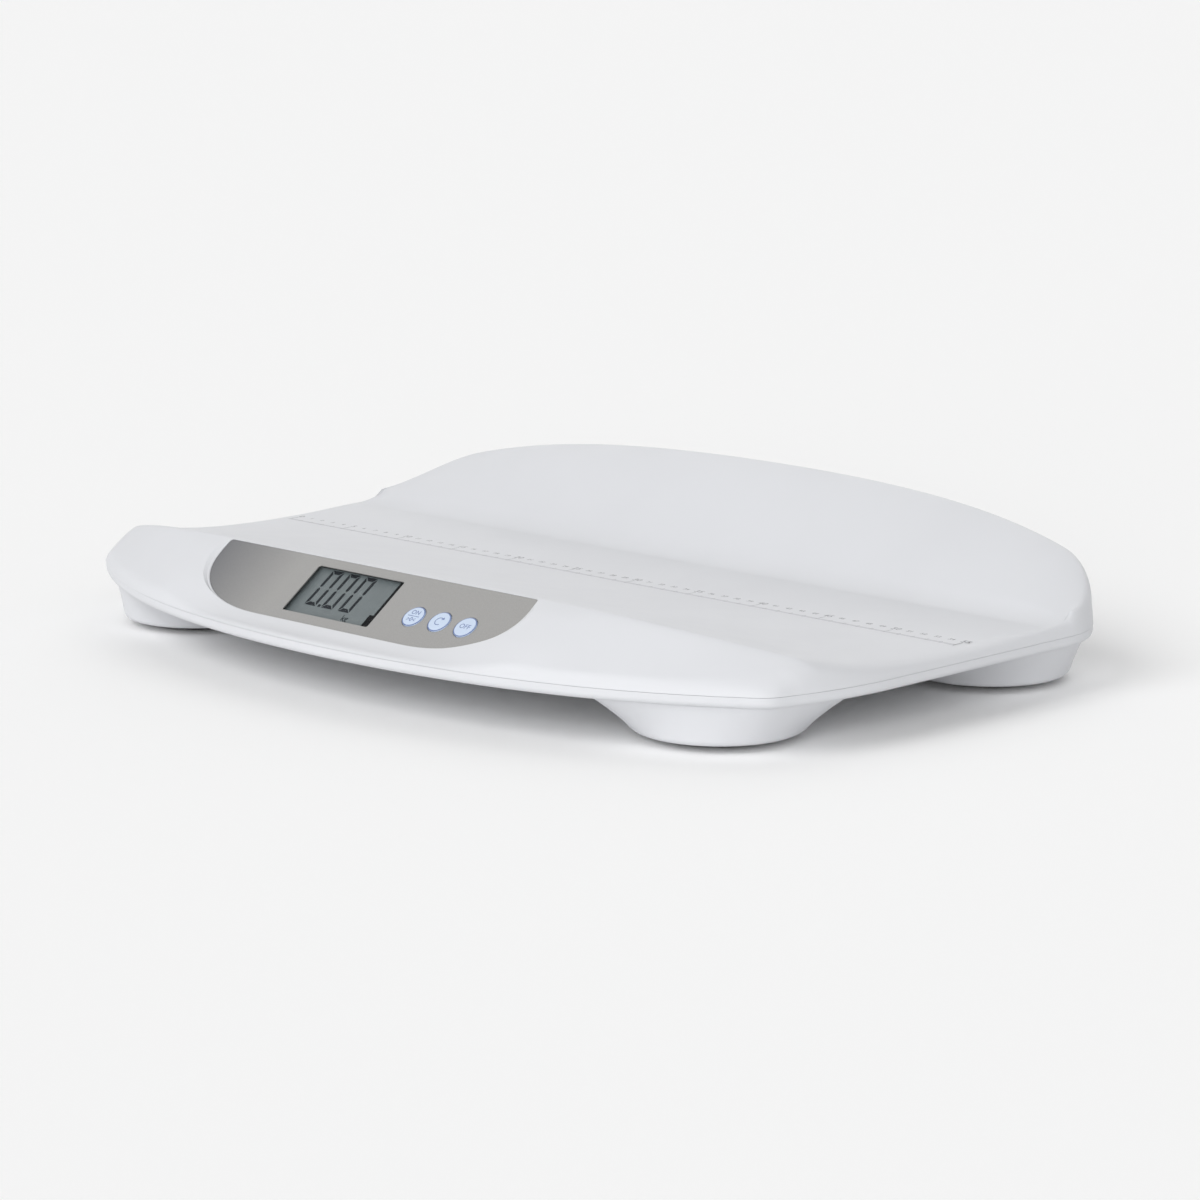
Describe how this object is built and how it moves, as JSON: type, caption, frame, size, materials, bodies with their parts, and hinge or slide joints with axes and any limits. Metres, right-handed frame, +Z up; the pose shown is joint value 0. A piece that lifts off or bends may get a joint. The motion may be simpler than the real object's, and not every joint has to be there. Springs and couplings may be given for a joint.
{
  "type": "baby weighing scale",
  "caption": "Low, wide weighing scale for babies with a hollowed white tray, a raised back wall, a sloping display panel with buttons and round corner feet.",
  "frame": {"origin": "on the ground under the middle of the scale", "axes": "+X along the scale's length, to the right of someone who reads the display, +Y from the display to the back wall, +Z up"},
  "size_m": [0.58, 0.39, 0.09],
  "materials": {
    "casing_white": "glossy white moulding",
    "panel_silver": "satin silver-grey sheet",
    "lens_clear": "clear glossy window",
    "display_grey": "grey-green liquid crystal glass",
    "black_plastic": "matt black",
    "black_rubber": "matt black rubber",
    "button_blue": "pale blue moulding",
    "board_green": "green solder mask",
    "steel": "bright zinc plate",
    "cell_alloy": "bare alloy",
    "cup_grey": "grey moulding",
    "battery_jacket": "plain dark jacket"
  },
  "bodies": {
    "scale": {"top_casing": "casing_white", "bottom_casing": "casing_white", "display_panel": "panel_silver", "display_lens": "lens_clear", "lcd_glass": "display_grey", "display_gasket": "black_plastic", "controller_chip": "black_plastic", "switch_tare": "black_plastic", "switch_recall": "black_plastic", "switch_off": "black_plastic", "lcd_contact_strip": "black_rubber", "rubber_foot_front_left": "black_rubber", "rubber_foot_front_right": "black_rubber", "rubber_foot_back_left": "black_rubber", "rubber_foot_back_right": "black_rubber", "circuit_board": "board_green", "board_screw_1": "steel", "board_screw_2": "steel", "board_screw_3": "steel", "board_screw_4": "steel", "casing_screw_1": "steel", "casing_screw_2": "steel", "casing_screw_3": "steel", "casing_screw_4": "steel", "casing_screw_5": "steel", "casing_screw_6": "steel", "battery_spring_1": "steel", "battery_spring_2": "steel", "battery_spring_3": "steel", "battery_spring_4": "steel", "battery_contact_left_1": "steel", "battery_contact_left_2": "steel", "battery_contact_left_3": "steel", "battery_contact_right_1": "steel", "battery_contact_right_2": "steel", "load_cell_front_left": "cell_alloy", "load_cell_front_right": "cell_alloy", "load_cell_back_left": "cell_alloy", "load_cell_back_right": "cell_alloy", "foot_cup_front_left": "cup_grey", "foot_cup_front_right": "cup_grey", "foot_cup_back_left": "cup_grey", "foot_cup_back_right": "cup_grey", "cell_retainer_front_left": "cup_grey", "cell_retainer_front_right": "cup_grey", "cell_retainer_back_left": "cup_grey", "cell_retainer_back_right": "cup_grey", "battery_1": "battery_jacket", "battery_2": "battery_jacket", "battery_3": "battery_jacket", "battery_4": "battery_jacket"},
    "button_tare": {"button_tare": "button_blue"},
    "button_recall": {"button_recall": "button_blue"},
    "button_off": {"button_off": "button_blue"},
    "battery_door": {"battery_door": "casing_white"}
  },
  "joints": [
    {"name": "press_tare", "type": "slide", "parent": "scale", "child": "button_tare", "axis": [0, 0.592, -0.8059], "range_m": [0, 0.0007], "stiffness_N_per_m": 2500, "springref_m": -0.0002},
    {"name": "press_recall", "type": "slide", "parent": "scale", "child": "button_recall", "axis": [0, 0.592, -0.8059], "range_m": [0, 0.0007], "stiffness_N_per_m": 2500, "springref_m": -0.0002},
    {"name": "press_off", "type": "slide", "parent": "scale", "child": "button_off", "axis": [0, 0.592, -0.8059], "range_m": [0, 0.0007], "stiffness_N_per_m": 2500, "springref_m": -0.0002},
    {"name": "battery_door_hinge", "type": "hinge", "parent": "scale", "child": "battery_door", "pos_m": [0, -0.1364, 0.0283], "axis": [-1, 0, 0], "range_deg": [0, 90]}
  ]
}
